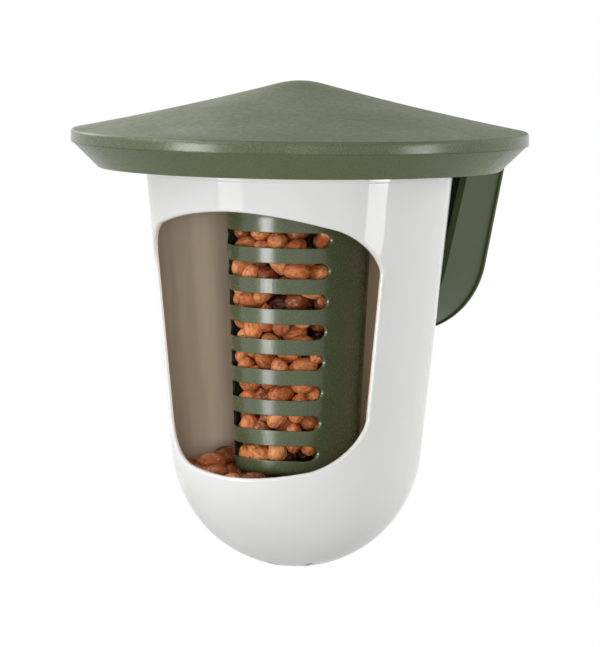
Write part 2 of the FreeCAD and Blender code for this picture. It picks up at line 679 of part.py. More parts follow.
def make_wall_bracket():
    """Scoop screwed to the wall, open to the front, with the rail that the housing hangs on."""
    body = new_body("wall_bracket", at_axis=False)
    deepest = f"(axis_standoff - {wall_radius('0', '-bracket_bottom')} - bracket_gap)"
    sketch = new_sketch(body, "scoop_outline", "XZ_Plane")
    draw_shield(sketch, "0", "-bracket_top")
    pad(body, "scoop", sketch, deepest)
    sketch = new_sketch(body, "lip_outline", "XZ_Plane")
    draw_shield(sketch, "bracket_lip", "-bracket_top")
    pad(body, "lip", sketch, "bracket_lip_thick")
    sketch = new_sketch(body, "hollow_outline", "XZ_Plane", "bracket_plate")
    draw_shield(sketch, "-bracket_wall", "bracket_top")
    hollow = body.newObject("PartDesign::Pocket", "hollow")
    hollow.Profile = sketch
    hollow.Reversed = True
    bind(hollow, "Length", deepest)
    sketch = new_sketch(body, "front_outline", "YZ_Plane")
    past = f"-2 * {deepest}"
    low, high = "-bracket_bottom - bracket_wall", "bracket_top"
    draw(sketch, [
        (past, low),
        (f"-{deepest} - bracket_wall * bracket_lean", low),
        (f"-{deepest} + (bracket_bottom + bracket_top) * bracket_lean", high),
        (past, high),
    ])
    pocket_through(body, "front_trim", sketch, both_ways=True)
    sketch = new_sketch(body, "rail_outline", "XY_Plane", f"-{SOCKET_FOOT}")
    face = f"({SADDLE_FACE} + rail_gap - axis_standoff)"
    neck = f"({face} + rail_head_thick)"
    head, web = "(rail_head_width / 2)", "(rail_web / 2)"
    root = "-bracket_plate / 2"
    draw(sketch, [(f"-{head}", face), (head, face), (head, neck), (web, neck),
                  (web, root), (f"-{web}", root), (f"-{web}", neck), (f"-{head}", neck)])
    pad(body, "rail", sketch, "rail_length")
    for side in ("-", ""):
        name = "left" if side else "right"
        sketch = new_sketch(body, f"{name}_hole_outline", "XZ_Plane")
        draw_circle(sketch, f"{side}mount_spacing / 2", "-skirt_level", "mount_hole_radius")
        pocket_through(body, f"{name}_hole", sketch, both_ways=True)
    return body


def kernel(length, girth):
    """One peanut kernel along X as a closed faceted form: blunt ends, full middle."""
    rings = []
    for place, share in KERNEL_STATIONS:
        radius = share * girth / 2
        ring = []
        for index in range(KERNEL_SIDES):
            angle = 2 * math.pi * (index + 0.5) / KERNEL_SIDES
            ring.append(V(place * length, radius * math.cos(angle), radius * math.sin(angle)))
        rings.append(ring)
    faces = [Part.Face(Part.makePolygon(ring + ring[:1])) for ring in (rings[0], rings[-1])]
    for near, far in zip(rings, rings[1:]):
        for index in range(KERNEL_SIDES):
            after = (index + 1) % KERNEL_SIDES
            quad = [near[index], near[after], far[after], far[index], near[index]]
            faces.append(Part.Face(Part.makePolygon(quad)))
    return Part.Solid(Part.Shell(faces))


def kernel_step(radius):
    """Angle in degrees from kernel to kernel along a circle, clear at the inner edge of their ends."""
    inner = radius - KERNEL_END * size("nut_girth") / 2
    return math.degrees(2 * math.atan(size("nut_length + nut_gap") / 2 / inner))


def arc_of_kernels(radius, height, angles):
    """Kernels along a circle, lying along it, at angles in degrees from +X."""
    kernels = []
    for angle in angles:
        nut = kernel(size("nut_length"), size("nut_girth"))
        nut.rotate(V(), UP, 90)
        nut.translate(V(radius, 0, height))
        nut.rotate(V(), UP, angle)
        kernels.append(nut)
    return kernels


def spread_angles(first, last, step, start):
    """Angles from first to last, a step apart, beginning a share of a step in."""
    count = int((last - first) / step - start) + 1
    return [first + (start + index) * step for index in range(count)]


def ring_angles(radius, start):
    """Angles of a full ring of kernels, as many as fit, turned by a share of a step."""
    count = int(360 / kernel_step(radius))
    return [360 * (index + start) / count for index in range(count)]


def make_silo_peanuts():
    """Kernels in close rows just inside the tube, where the slots show them."""
    shown = size(f"(slot_count - 1) * {SLOT_PITCH} + slot_height")
    layer = size("nut_girth + nut_gap")
    middle, spread = -90, size("nut_spread_angle")
    kernels = []
    for index in range(int(shown / layer) + 1):
        depth = size("slot_first") + layer * (index + 0.5)
        radius = size(f"{tube_outside(depth)} - tube_wall - nut_setback - {NUT_ROW}")
        angles = spread_angles(middle - spread, middle + spread, kernel_step(radius), 0.5 * (index % 2))
        kernels += arc_of_kernels(radius, -depth, angles)
    return placed_feature("peanuts_in_silo", Part.makeCompound(kernels))


def make_peanut_column():
    """The body of peanuts inside the silo, set back where single kernels show."""
    body = new_body("peanut_column")
    low = "(tube_foot - 2 * tube_wall - tube_foot_round)"
    high = "(tube_top + tube_wall)"
    gap = "(tube_wall + fit_gap)"
    revolve(body, "column", [
        ("0", f"-{low}"),
        (f"{tube_outside(low)} - {gap}", f"-{low}"),
        (f"{tube_outside(high)} - {gap}", f"-{high}"),
        (f"tube_radius - {gap}", f"tube_wall - tube_top"),
        ("0", "-column_top"),
    ])
    sketch = new_sketch(body, "recess_outline", "YZ_Plane")
    first = "(slot_first - nut_gap)"
    last = f"(slot_first + slot_count * {SLOT_PITCH})"
    deep = "(tube_wall + nut_setback + nut_girth + 2 * nut_gap)"
    draw(sketch, [
        (f"{deep} - {tube_outside(last)}", f"-{last}"),
        (f"{deep} - {tube_outside(first)}", f"-{first}"),
        ("-2 * tube_radius", f"-{first}"),
        ("-2 * tube_radius", f"-{last}"),
    ])
    recess = body.newObject("PartDesign::Groove", "recess")
    recess.Profile = sketch
    recess.ReferenceAxis = (sketch, ["V_Axis"])
    recess.Midplane = True
    last_kernel = "atan((nut_length / 2 + nut_gap) / (tube_foot_radius - tube_wall - nut_girth))"
    bind(recess, "Angle", f"2 * (nut_spread_angle * 1 deg + {last_kernel})")
    return body


def make_peanut_bed():
    """The body of peanuts in the bowl, below the single kernels."""
    body = new_body("peanut_bed")
    ball = f"(bowl_radius - {INNER_SKIN} - fit_gap)"
    edge = f"sqrt({ball}^2 - (bed_depth - {BOWL_CENTRE})^2)"
    revolve(body, "bed", [
        ("0", f"-{BOWL_CENTRE} - {ball}"),
        (edge, "-bed_depth"),
        ("0", "-bed_depth"),
    ], {0: ("0", 1)})
    return body


def make_bowl_peanuts():
    """Kernels on the bed round the silo's foot, heaped higher on the left and at the back."""
    layer = size("nut_girth + nut_gap")
    outer = size(f"sqrt((bowl_radius - {INNER_SKIN})^2 - (bed_depth - {BOWL_CENTRE})^2) - {NUT_ROW}")
    inner = outer - layer
    height = -size("bed_depth") + size(NUT_ROW)
    kernels = arc_of_kernels(inner, height, ring_angles(inner, 0))
    kernels += arc_of_kernels(outer, height, ring_angles(outer, 0.5))
    middle = (inner + outer) / 2
    angles = spread_angles(size("heap_from_angle"), size("heap_to_angle"), kernel_step(middle), 0)
    kernels += arc_of_kernels(middle, height + layer * math.sin(math.pi / 3), angles)
    return placed_feature("peanuts_in_bowl", Part.makeCompound(kernels))


def build():
    """Every piece of the feeder, in the order of assembly."""
    window = make_window_cutter()
    screw_holes = make_screw_hole_cutter()
    bead = [
        (wall_radius("0", "-rim_bead_foot"), "-rim_bead_foot"),
        (wall_radius("-rim_bead", "-rim_bead_foot + rim_bead"), "-rim_bead_foot + rim_bead"),
        (wall_radius("-rim_bead", "housing_lip"), "housing_lip"),
    ]
    shell = make_cup("housing_shell_blank", "0", LINER_SKIN, "housing_lip", bead)
    liner = make_cup("housing_liner_blank", LINER_SKIN, INNER_SKIN, "housing_lip")
    return [
        make_wall_bracket(),
        round_window("housing_shell", cut_away("housing_shell_cut", shell, [window, screw_holes])),
        cut_away("housing_liner", liner, [window, screw_holes]),
        make_hanger_socket(screw_holes),
        make_hanger_screws(),
        make_silo_tube(),
        make_silo_funnel(),
        make_peanut_column(),
        make_silo_peanuts(),
        make_peanut_bed(),
        make_bowl_peanuts(),
        make_roof_cap(),
        make_roof_collar(),
        make_roof_screws(),
    ]


def check_and_export(pieces):
    """Stop on any failed object; then write one file for each piece."""
    doc.recompute()
    for item in doc.Objects:
        failed = {"Invalid", "Error"} & set(item.State)
        if failed:
            raise RuntimeError(f"{item.Label}: {sorted(failed)}")
    for piece in pieces:
        if piece.Shape.isNull() or not piece.Shape.isValid():
            raise RuntimeError(f"{piece.Label}: no valid shape")
    os.makedirs("parts", exist_ok=True)
    for piece in pieces:
        solids = piece.Shape.Solids
        print(f"{piece.Label}: {len(solids)} solids, {piece.Shape.Volume:.0f} mm3")
        piece.Shape.exportStep(f"parts/{piece.Label}.step")


check_and_export(build())
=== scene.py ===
"""Looks of the silo bird feeder: procedural materials, loose peanuts, studio light and a camera."""

import json
import math

import bmesh
import bpy
import numpy as np
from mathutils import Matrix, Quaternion, Vector

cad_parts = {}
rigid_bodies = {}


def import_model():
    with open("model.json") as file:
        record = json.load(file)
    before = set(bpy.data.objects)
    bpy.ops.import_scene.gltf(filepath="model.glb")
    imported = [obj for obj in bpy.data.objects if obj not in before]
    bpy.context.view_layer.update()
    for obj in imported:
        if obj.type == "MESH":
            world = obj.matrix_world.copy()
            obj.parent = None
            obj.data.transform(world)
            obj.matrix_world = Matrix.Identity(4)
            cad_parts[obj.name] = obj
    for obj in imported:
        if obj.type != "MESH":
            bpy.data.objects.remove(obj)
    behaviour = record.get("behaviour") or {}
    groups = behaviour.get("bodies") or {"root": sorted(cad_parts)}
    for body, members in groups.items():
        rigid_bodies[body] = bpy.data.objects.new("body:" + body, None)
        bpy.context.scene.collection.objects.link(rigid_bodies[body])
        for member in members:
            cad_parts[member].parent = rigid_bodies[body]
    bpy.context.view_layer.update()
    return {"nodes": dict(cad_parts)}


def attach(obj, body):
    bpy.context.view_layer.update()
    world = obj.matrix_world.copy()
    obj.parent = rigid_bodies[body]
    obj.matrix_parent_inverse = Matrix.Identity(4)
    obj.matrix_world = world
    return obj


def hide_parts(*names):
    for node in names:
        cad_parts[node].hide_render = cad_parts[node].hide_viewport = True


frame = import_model()
nodes = frame["nodes"]

# Sizes in metres: heights of the tube, the liner and the bowl run from the skirt's lower edge
AXIS = Vector((0.0, -0.115, 0.0))
SKIRT = 0.040
TUBE_TOP = -0.014
TUBE_TOP_RADIUS = 0.0363
TUBE_TAPER = 0.045
TUBE_FOOT = -0.1495
TUBE_MOUTH_RADIUS = 0.0351
LINER_TOP_RADIUS = 0.0735
LINER_TAPER = 0.101
BOWL_TOP = -0.1417
BOWL_CENTRE = -0.1355
BOWL_RADIUS = 0.0594
LEAST_SQUARE = 1e-8


def tube_outside(height):
    """Outer radius of the silo tube at a height."""
    return TUBE_TOP_RADIUS + (height - TUBE_TOP) * TUBE_TAPER


def liner_inside(height):
    """Inner radius of the housing at a height."""
    cone = LINER_TOP_RADIUS + height * LINER_TAPER
    ball = np.sqrt(np.maximum(BOWL_RADIUS ** 2 - (height - BOWL_CENTRE) ** 2, LEAST_SQUARE))
    return np.where(height > BOWL_TOP, cone, ball)


# Materials, and the numbers of the sockets of a colour mix
WHITE = (1.0, 1.0, 1.0, 1.0)
MIX_FACTOR, MIX_FIRST, MIX_SECOND = 0, 6, 7
MIX_RESULT = 2


class Shader:
    """A node material with one Principled shader, built step by step."""

    def __init__(self, name, **settings):
        self.material = bpy.data.materials.new(name)
        self.material.use_nodes = True
        self.tree = self.material.node_tree
        self.surface = self.tree.nodes["Principled BSDF"]
        for socket, value in settings.items():
            self.surface.inputs[socket.replace("_", " ")].default_value = value

    def node(self, kind, inputs=None, **settings):
        """A new node, whose inputs may be values or sockets."""
        made = self.tree.nodes.new(kind)
        for name, value in settings.items():
            setattr(made, name, value)
        for name, value in (inputs or {}).items():
            if isinstance(value, bpy.types.NodeSocket):
                self.tree.links.new(value, made.inputs[name])
            else:
                made.inputs[name].default_value = value
        return made

    def link(self, source, socket):
        self.tree.links.new(source, self.surface.inputs[socket])

    def place(self):
        return self.node("ShaderNodeTexCoord").outputs["Object"]

    def attribute(self, name, output):
        return self.node("ShaderNodeAttribute", attribute_name=name).outputs[output]

    def stretch(self, vector, scale):
        return self.node("ShaderNodeMapping", {"Vector": vector, "Scale": scale}).outputs["Vector"]

    def noise(self, vector, scale, detail=2.0, roughness=0.5):
        made = self.node("ShaderNodeTexNoise", {
            "Vector": vector, "Scale": scale, "Detail": detail, "Roughness": roughness})
        return made.outputs["Fac"]

    def span(self, value, low, high, to_low, to_high):
        """The value moved from one range to another, whose ends may be values or sockets."""
        made = self.node("ShaderNodeMapRange", {
            "Value": value, "From Min": low, "From Max": high, "To Min": to_low, "To Max": to_high})
        return made.outputs["Result"]

    def ramp(self, value, stops):
        """A colour ramp with stops of (place, linear colour)."""
        made = self.node("ShaderNodeValToRGB", {"Fac": value})
        elements = made.color_ramp.elements
        while len(elements) < len(stops):
            elements.new(0.5)
        for element, (place, colour) in zip(elements, stops):
            element.position = place
            element.color = (*colour, 1.0)
        return made.outputs["Color"]

    def blend(self, factor, first, second):
        """A mix of two colours; its sockets share names, so they go by number."""
        made = self.node("ShaderNodeMix", data_type="RGBA")
        for index, value in ((MIX_FACTOR, factor), (MIX_FIRST, first), (MIX_SECOND, second)):
            if isinstance(value, bpy.types.NodeSocket):
                self.tree.links.new(value, made.inputs[index])
            else:
                made.inputs[index].default_value = value if index == MIX_FACTOR else (*value, 1.0)
        return made.outputs[MIX_RESULT]

    def bump(self, height, distance, strength, normal=None):
        inputs = {"Height": height, "Distance": distance, "Strength": strength}
        if normal is not None:
            inputs["Normal"] = normal
        return self.node("ShaderNodeBump", inputs).outputs["Normal"]

    def edge(self, radius):
        return self.node("ShaderNodeBevel", {"Radius": radius}, samples=6).outputs["Normal"]


def srgb(red, green, blue):
    """Linear colour of an 8-bit display colour."""
    def linear(level):
        share = level / 255
        return share / 12.92 if level <= 10 else ((share + 0.055) / 1.055) ** 2.4
    return tuple(linear(level) for level in (red, green, blue))


def grained_plastic(name, dark, light, roughness, top_roughness=None,
                    specular=0.5, edge=0.0006, relief=0.5):
    """Moulded plastic with a fine grain, slight clouding and softened edges.

    top_roughness is for faces that look up, where the mould is more coarsely grained.
    """
    shader = Shader(name, Specular_IOR_Level=specular)
    place = shader.place()
    cloud = shader.noise(place, scale=26.0, detail=4.0, roughness=0.6)
    speck = shader.noise(place, scale=380.0, detail=4.0, roughness=0.7)
    grain = shader.noise(place, scale=1500.0, detail=2.0, roughness=0.6)
    tone = shader.blend(0.6, shader.ramp(cloud, [(0.3, dark), (0.7, light)]),
                        shader.ramp(grain, [(0.34, dark), (0.66, light)]))
    tone = shader.blend(0.15, tone, shader.ramp(speck, [(0.36, dark), (0.64, light)]))
    shader.link(tone, "Base Color")
    rough = shader.span(grain, 0.3, 0.7, roughness - 0.05, roughness + 0.05)
    if top_roughness is not None:
        coarse = shader.blend(0.5, cloud, speck)
        coarse = shader.span(coarse, 0.36, 0.64, top_roughness - 0.16, top_roughness + 0.16)
        facing = shader.node("ShaderNodeNewGeometry").outputs["Normal"]
        upward = shader.node("ShaderNodeSeparateXYZ", {"Vector": facing}).outputs["Z"]
        rough = shader.span(upward, 0.5, 0.9, rough, coarse)
    shader.link(rough, "Roughness")
    shader.link(shader.bump(grain, distance=0.00004, strength=relief, normal=shader.edge(edge)), "Normal")
    return shader.material


def glossy_shell():
    """Glossy white moulding with very slight waviness."""
    shader = Shader("shell_white_gloss", Specular_IOR_Level=0.5)
    place = shader.place()
    cloud = shader.noise(place, scale=18.0, detail=3.0)
    tone = shader.ramp(cloud, [(0.3, srgb(213, 213, 211)), (0.7, srgb(218, 218, 216))])
    shader.link(tone, "Base Color")
    haze = shader.noise(place, scale=240.0, detail=3.0)
    shader.link(shader.span(haze, 0.3, 0.7, 0.04, 0.08), "Roughness")
    wave = shader.noise(place, scale=60.0, detail=1.0)
    softened = shader.edge(radius=0.0006)
    shader.link(shader.bump(wave, distance=0.00006, strength=0.35, normal=softened), "Normal")
    return shader.material


def satin_liner():
    """Inner face with a satin finish and upright streaks, lighter and darker in colour as painted
    reflections, with the roughness varying along them: a cream that looks taupe in the shade.
    """
    shader = Shader("liner_taupe_satin", Specular_IOR_Level=0.5)
    place = shader.place()
    marks = shader.noise(shader.stretch(place, (1.0, 1.0, 0.04)), scale=90.0, detail=2.0)
    cloud = shader.noise(place, scale=22.0, detail=3.0)
    clouded = shader.ramp(cloud, [(0.3, srgb(237, 215, 190)), (0.7, srgb(242, 221, 196))])
    # Painted reflection: upright lighter and darker streaks in the colour
    painted_reflection_streaks = shader.ramp(marks, [(0.35, srgb(227, 204, 178)), (0.65, srgb(246, 226, 202))])
    shader.link(shader.blend(0.6, clouded, painted_reflection_streaks), "Base Color")
    shader.link(shader.span(marks, 0.3, 0.7, 0.18, 0.26), "Roughness")
    return shader.material


def plain_steel():
    """Zinc-plated steel with a fine mottle."""
    shader = Shader("screw_steel_plated", Metallic=1.0)
    marks = shader.noise(shader.place(), scale=2600.0, detail=3.0)
    tone = shader.ramp(marks, [(0.3, srgb(176, 178, 180)), (0.7, srgb(206, 206, 202))])
    shader.link(tone, "Base Color")
    shader.link(shader.span(marks, 0.3, 0.7, 0.24, 0.42), "Roughness")
    shader.link(shader.bump(marks, distance=0.00005, strength=0.4), "Normal")
    return shader.material


def peanut_skin():
    """Wrinkled papery skins with dark veins, which also paint shade in the wrinkles' hollows: each kernel
    has its own tone, whose dark end paints shade on the deep kernels and those in the bowl, and bare
    kernels are cream.
    """
    shader = Shader("peanut_skin", Specular_IOR_Level=0.45)
    skin = shader.attribute("skin", "Vector")
    tone = shader.attribute("tone", "Fac")
    bare = shader.attribute("bare", "Fac")
    lengthwise = shader.stretch(skin, (0.25, 1.0, 1.0))
    wrinkle = shader.noise(lengthwise, scale=640.0, detail=5.0, roughness=0.65)
    dent = shader.noise(skin, scale=230.0, detail=2.0)
    patch = shader.noise(skin, scale=310.0, detail=4.0, roughness=0.65)
    # The ramp's darkest stop is painted shade for the deep kernels
    red = shader.ramp(tone, [
        (0.0, srgb(28, 11, 6)), (0.15, srgb(122, 58, 30)), (0.4, srgb(186, 102, 55)),
        (0.75, srgb(228, 138, 80)), (1.0, srgb(245, 168, 110))])
    # Dark veins along the wrinkles' hollows: the skin's own veins, and painted shade in the creases
    veins_and_crease_shade = shader.blend(shader.span(wrinkle, 0.36, 0.54, 0.65, 0.0), red, srgb(104, 44, 22))
    rubbed = shader.blend(shader.span(patch, 0.54, 0.72, 0.0, 0.55), veins_and_crease_shade, srgb(250, 194, 144))
    cream = shader.ramp(patch, [(0.3, srgb(222, 182, 128)), (0.7, srgb(242, 216, 170))])
    shader.link(shader.blend(bare, rubbed, cream), "Base Color")
    shader.link(shader.span(wrinkle, 0.3, 0.7, 0.52, 0.32), "Roughness")
    dented = shader.bump(dent, distance=0.0020, strength=0.7)
    shader.link(shader.bump(wrinkle, distance=0.0012, strength=0.8, normal=dented), "Normal")
    return shader.material


def dress(node, material):
    mesh = nodes[node].data
    mesh.materials.clear()
    mesh.materials.append(material)


ROOF_GREEN = grained_plastic("roof_green_grain", srgb(65, 73, 46), srgb(90, 98, 68),
                             roughness=0.25, top_roughness=0.60, edge=0.0018, relief=0.3)
COLLAR_GREEN = grained_plastic("collar_green_grain", srgb(76, 85, 54), srgb(89, 98, 66),
                               roughness=0.30, specular=0.28, relief=0.15)
SILO_GREEN = grained_plastic("silo_green_grain", srgb(70, 79, 53), srgb(81, 90, 63),
                             roughness=0.25, relief=0.15)
# Painted shade: the silo's plastic made near-black for the slots' cut faces
SLOT_PAINTED_SHADE = grained_plastic("silo_slot_painted_shade", srgb(20, 23, 15), srgb(29, 33, 22),
                             roughness=0.6, specular=0.1)
# Painted shade: the bracket is the silo's green plastic, made darker for the shade it stands in
BRACKET_GREEN_PAINTED_SHADE = grained_plastic("bracket_green_painted_shade", srgb(49, 57, 32), srgb(62, 70, 43),
                                roughness=0.42, specular=0.15)
SOCKET_WHITE = grained_plastic("socket_white_grain", srgb(214, 214, 208), srgb(226, 226, 221),
                               roughness=0.45)
PEANUT = peanut_skin()
STEEL = plain_steel()

dress("roof_cap", ROOF_GREEN)
dress("roof_collar", COLLAR_GREEN)
dress("roof_screws", STEEL)
dress("housing_shell", glossy_shell())
dress("housing_liner", satin_liner())
dress("hanger_socket", SOCKET_WHITE)
dress("hanger_screws", STEEL)
dress("silo_tube", SILO_GREEN)
dress("silo_funnel", SILO_GREEN)
dress("wall_bracket", BRACKET_GREEN_PAINTED_SHADE)


# The silo stands turned a little in the photo, so its slots run on round the left side of the tube
SLOT_TOP = -0.0299
SLOT_PITCH = 0.014943
SLOT_HEIGHT = 0.0075
SLOT_COUNT = 8
SLOT_INSET = 0.00002
CUTTER_FRONT = -0.0265
CUTTER_BACK = -0.0112
CUTTER_SIDES = (-0.045, -0.004)
BEND_STEPS = 10
WELD_DISTANCE = 1e-6
CREASE_ANGLE = math.radians(30)


def slot_cutters():
    """Mesh of prisms along X, one for each slot, each with a half-round end on the tube's left side.

    Each prism starts within its slot and is slimmer by an inset, so that no faces coincide.
    """
    cutters = bmesh.new()
    radius = SLOT_HEIGHT / 2 - SLOT_INSET
    bend = [math.pi * (0.5 - step / BEND_STEPS) for step in range(BEND_STEPS + 1)]
    end = [(CUTTER_BACK - radius + radius * math.cos(a), radius * math.sin(a)) for a in bend]
    outline = [(CUTTER_FRONT, -radius), (CUTTER_FRONT, radius)] + end
    for index in range(SLOT_COUNT):
        middle = SKIRT + SLOT_TOP - index * SLOT_PITCH - SLOT_HEIGHT / 2
        left, right = ([cutters.verts.new((x, AXIS.y + y, middle + z)) for y, z in outline]
                       for x in CUTTER_SIDES)
        cutters.faces.new(left)
        cutters.faces.new(reversed(right))
        for i, corner in enumerate(left):
            after = (i + 1) % len(outline)
            cutters.faces.new((left[after], corner, right[i], right[after]))
    bmesh.ops.recalc_face_normals(cutters, faces=cutters.faces)
    mesh = bpy.data.meshes.new("slot_cutters")
    cutters.to_mesh(mesh)
    cutters.free()
    # The cutter's near-black green, painted shade, passes to the faces it cuts
    mesh.materials.append(SLOT_PAINTED_SHADE)
    return mesh


def slotted_tube():
    """A copy of the silo tube with longer slots, which stands for it; the new cut faces are a near-black
    green, painted shade.
    """
    whole = bmesh.new()
    whole.from_mesh(nodes["silo_tube"].data)
    bmesh.ops.remove_doubles(whole, verts=whole.verts, dist=WELD_DISTANCE)
    mesh = bpy.data.meshes.new("slotted_tube")
    whole.to_mesh(mesh)
    whole.free()
    mesh.materials.append(SILO_GREEN)
    scene = bpy.context.scene.collection.objects
    piece = bpy.data.objects.new("slotted_tube", mesh)
    cutter = bpy.data.objects.new("slot_cutters", slot_cutters())
    scene.link(piece)
    scene.link(cutter)
    cut = piece.modifiers.new("slots", "BOOLEAN")
    cut.operation = "DIFFERENCE"
    cut.solver = "EXACT"
    cut.material_mode = "TRANSFER"
    cut.object = cutter
    evaluated = piece.evaluated_get(bpy.context.evaluated_depsgraph_get())
    piece.data = bpy.data.meshes.new_from_object(evaluated)
    piece.modifiers.clear()
    bpy.data.objects.remove(cutter)
    piece.data.polygons.foreach_set("use_smooth", np.ones(len(piece.data.polygons), bool))
    piece.data.set_sharp_from_angle(angle=CREASE_ANGLE)
    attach(piece, "silo")
    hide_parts("silo_tube")


slotted_tube()


# Peanuts: kernels are settled as chains of three balls, then drawn as wrinkled forms
BALLS = 3
BALL_SHIFT = 0.0033
BALL_RADII = np.array([0.0041, 0.0046, 0.0041])
PUSH_SHARE = 0.3
TINY = 1e-9
SILO_WALL = 0.0021
SILO_FLOOR = -0.1462
SILO_CEILING = -0.019
SILO_HALF_TURN = math.radians(112)
MOUTH_GAP = 0.0006
MOUTH_FLOOR = -0.0275
BOWL_GAP = 0.0005
FOOT_ROUNDING = 0.004


def settle(places, axes, confine, rounds, fall):
    """Push kernels apart and into their container; returns their places and axes.

    confine(centres, radii) gives the push that brings each ball back into the container.
    """
    count = len(places)
    radii = np.tile(BALL_RADII, count)
    owner = np.repeat(np.arange(count), BALLS)
    shifts = np.array([-BALL_SHIFT, 0.0, BALL_SHIFT])
    apart = owner[:, None] != owner[None, :]
    touch = radii[:, None] + radii[None, :]
    for step in range(rounds):
        cooling = 1.0 - step / rounds
        places[:, 2] -= fall * cooling
        centres = (places[:, None, :] + shifts[None, :, None] * axes[:, None, :]).reshape(-1, 3)
        gaps = centres[:, None, :] - centres[None, :, :]
        distances = np.sqrt((gaps ** 2).sum(2)) + TINY
        depth = np.where(apart, np.maximum(touch - distances, 0.0), 0.0)
        push = (gaps * (depth / distances)[:, :, None]).sum(1) * PUSH_SHARE
        push += confine(centres, radii)
        moved = (centres + push).reshape(count, BALLS, 3)
        places = moved.mean(1)
        axes = moved[:, 2] - moved[:, 0]
        axes /= np.linalg.norm(axes, axis=1)[:, None]
    return places, axes


def outward(centres):
    """Distance from the feeder's axis, and the unit direction away from it."""
    reach = np.hypot(centres[:, 0], centres[:, 1]) + TINY
    away = np.zeros_like(centres)
    away[:, 0] = centres[:, 0] / reach
    away[:, 1] = centres[:, 1] / reach
    return reach, away


def in_silo(shallow, deep):
    """Keeps balls behind the front wall of the tube, between two depths that each ball has of its own."""
    def confine(centres, radii):
        push = np.zeros_like(centres)
        reach, away = outward(centres)
        wall = tube_outside(centres[:, 2]) - SILO_WALL - radii
        push += away * np.minimum(wall - shallow - reach, 0.0)[:, None]
        push += away * np.maximum(wall - deep - reach, 0.0)[:, None]
        turn = np.arctan2(centres[:, 0], -centres[:, 1])
        over = np.sign(turn) * np.minimum(SILO_HALF_TURN - np.abs(turn), 0.0) * reach
        push += np.stack([away[:, 1] * -over, away[:, 0] * over, np.zeros_like(over)], 1)
        push[:, 2] += np.maximum(SILO_FLOOR + radii - centres[:, 2], 0.0)
        push[:, 2] += np.minimum(SILO_CEILING - radii - centres[:, 2], 0.0)
        return push
    return confine


def in_mouth(centres, radii):
    """Keeps balls in the tube's mouth, level with the bottom of the funnel."""
    push = np.zeros_like(centres)
    reach, away = outward(centres)
    push += away * np.minimum(TUBE_MOUTH_RADIUS - MOUTH_GAP - radii - reach, 0.0)[:, None]
    push[:, 2] += np.maximum(MOUTH_FLOOR + radii - centres[:, 2], 0.0)
    return push


def in_bowl(floors):
    """Keeps balls inside the liner, over a floor of their own and clear of the silo's foot."""
    def confine(centres, radii):
        push = np.zeros_like(centres)
        reach, away = outward(centres)
        height = centres[:, 2]
        wall = liner_inside(height) - BOWL_GAP - radii
        push += away * np.where(height > BOWL_CENTRE, np.minimum(wall - reach, 0.0), 0.0)[:, None]
        lift = np.array((0.0, 0.0, BOWL_CENTRE)) - centres
        far = np.linalg.norm(lift, axis=1) + TINY
        excess = np.maximum(far + BOWL_GAP + radii - BOWL_RADIUS, 0.0)
        deep = np.where(height > BOWL_CENTRE, 0.0, excess)
        push += lift * (deep / far)[:, None]
        tube = tube_outside(np.maximum(height, TUBE_FOOT)) + BOWL_GAP
        over = height + radii - TUBE_FOOT + BOWL_GAP
        under = reach < tube - FOOT_ROUNDING
        beside = ~under & (over > 0)
        push[:, 2] -= np.where(under, np.maximum(over, 0.0), 0.0)
        push += away * np.where(beside, np.maximum(tube + radii - reach, 0.0), 0.0)[:, None]
        push[:, 2] += np.maximum(floors + radii - height, 0.0)
        return push
    return confine


# Form of a kernel: random ranges are shares of its length or girth, and twists are in radians
KERNEL_LENGTH = 0.0150
KERNEL_GIRTH = 0.0098
KERNEL_RINGS = 17
KERNEL_SIDES = 24
LENGTH_RANGE = (0.84, 1.04)
GIRTH_RANGE = (0.9, 1.04)
SLIMMING_RANGE = (0.02, 0.14)
PROFILE_BLUNTNESS = 2.5
PROFILE_FULLNESS = 0.6
SEAM_DEPTH = 0.05
SEAM_WIDTH = 0.16
SEAM_FADE = 4
LUMP_TURNS = (1, 2, 2, 3)
LUMP_RANGE = (0.01, 0.035)
LUMP_TWIST = 4
WRINKLE_TURNS = (5, 7, 9)
WRINKLE_RANGE = (0.008, 0.02)
WRINKLE_TWIST = 3
NOSE_START = 0.995
NOSE_RANGE = (0.02, 0.1)
ROUND_TURN = 6.28
SKIN_SHIFT = 1.0


def waves(rng, along, around, turns, heights, twist):
    """Sum of waves round a kernel, one for each number of turns, each with its own height and twist."""
    total = 0
    for count in turns:
        height = rng.uniform(*heights)
        lean = rng.uniform(-twist, twist) * along
        total = total + height * np.sin(count * around + lean + rng.uniform(0, ROUND_TURN))
    return total


